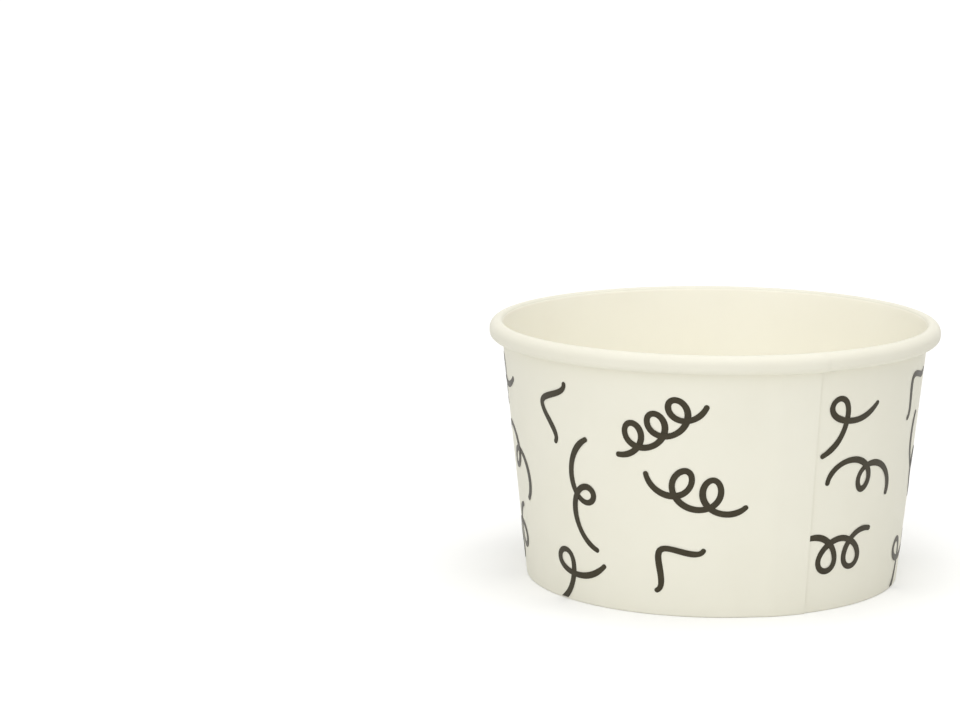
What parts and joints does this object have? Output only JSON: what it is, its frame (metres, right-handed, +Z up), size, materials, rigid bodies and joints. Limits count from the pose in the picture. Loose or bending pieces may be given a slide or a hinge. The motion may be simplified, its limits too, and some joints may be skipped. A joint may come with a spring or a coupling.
{
  "type": "paper ice cream cup",
  "caption": "Open paperboard cup for ice cream: tapered wall with a lap seam, rolled rim, folded-in base and a print of looped pen strokes.",
  "frame": {"origin": "centre of the ring that the cup stands on", "axes": "+Z up along the cup's axis, from the base to the open mouth; the outer ply of the lap seam ends at 61.4 degrees clockwise from +X, seen from above"},
  "size_m": [0.095, 0.095, 0.0548],
  "materials": {
    "sidewall": "smooth coated cream paperboard, low sheen",
    "base_disc": "smooth coated cream paperboard, low sheen",
    "printed_curls": "matte dark printing ink"
  },
  "bodies": {
    "root": {"sidewall": "sidewall", "base_disc": "base_disc", "printed_curls": "printed_curls"}
  },
  "joints": []
}
